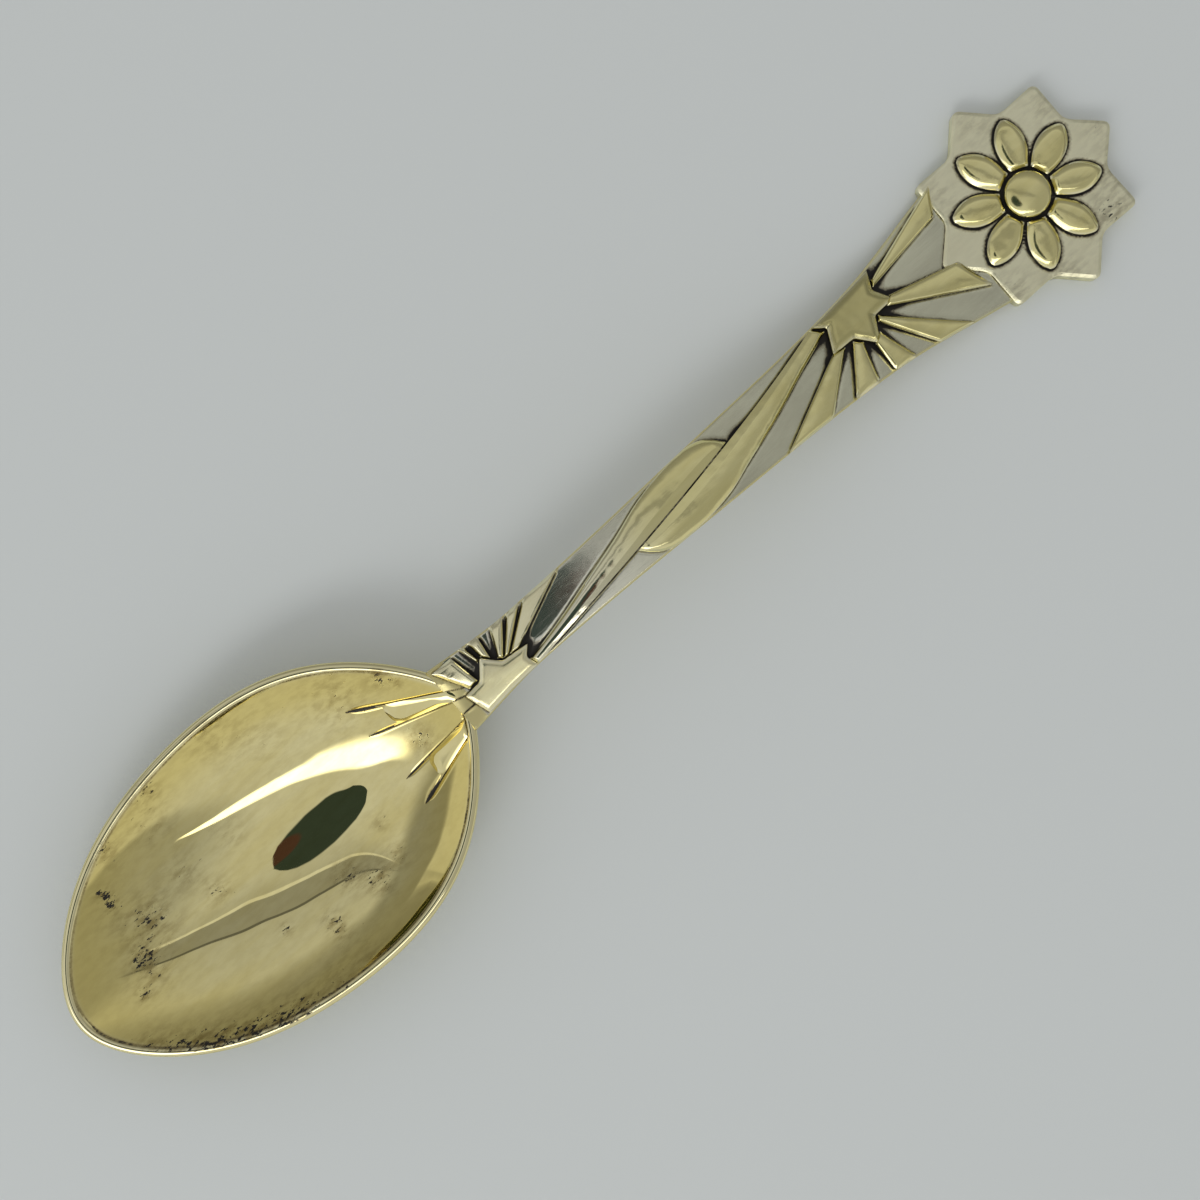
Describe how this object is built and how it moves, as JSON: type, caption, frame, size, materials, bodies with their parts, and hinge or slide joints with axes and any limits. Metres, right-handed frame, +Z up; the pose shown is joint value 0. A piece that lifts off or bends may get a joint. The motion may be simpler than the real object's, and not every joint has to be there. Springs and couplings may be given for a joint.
{
  "type": "spoon",
  "caption": "Gilt silver spoon with an egg-shaped bowl, an arched stem with star, ray and leaf relief, and a star-shaped finial with a petal rosette.",
  "frame": {"origin": "on the surface that the spoon lies on, under the middle of its length and width", "axes": "+X along the spoon from the bowl's tip to the finial, +Y across it, +Z up out of the bowl"},
  "size_m": [0.16, 0.0354, 0.0138],
  "materials": {
    "gilt": "gilt over silver, polished and worn",
    "pale_gilt": "thin gilt worn through to silver",
    "silver": "satin silver with a dark oxidised ground"
  },
  "bodies": {
    "root": {"bowl": "gilt", "bowl_ray_1": "gilt", "bowl_ray_2": "gilt", "centre_boss": "gilt", "finial_star": "silver", "lower_leaf": "gilt", "lower_ray_1": "pale_gilt", "lower_ray_2": "pale_gilt", "lower_ray_3": "pale_gilt", "lower_ray_4": "pale_gilt", "lower_ray_5": "pale_gilt", "lower_ray_6": "pale_gilt", "lower_star": "pale_gilt", "petal_1": "gilt", "petal_2": "gilt", "petal_3": "gilt", "petal_4": "gilt", "petal_5": "gilt", "petal_6": "gilt", "petal_7": "gilt", "petal_8": "gilt", "stem": "silver", "upper_leaf": "gilt", "upper_ray_1": "gilt", "upper_ray_2": "gilt", "upper_ray_3": "gilt", "upper_ray_4": "gilt", "upper_ray_5": "gilt", "upper_ray_6": "gilt", "upper_star": "gilt"}
  },
  "joints": []
}
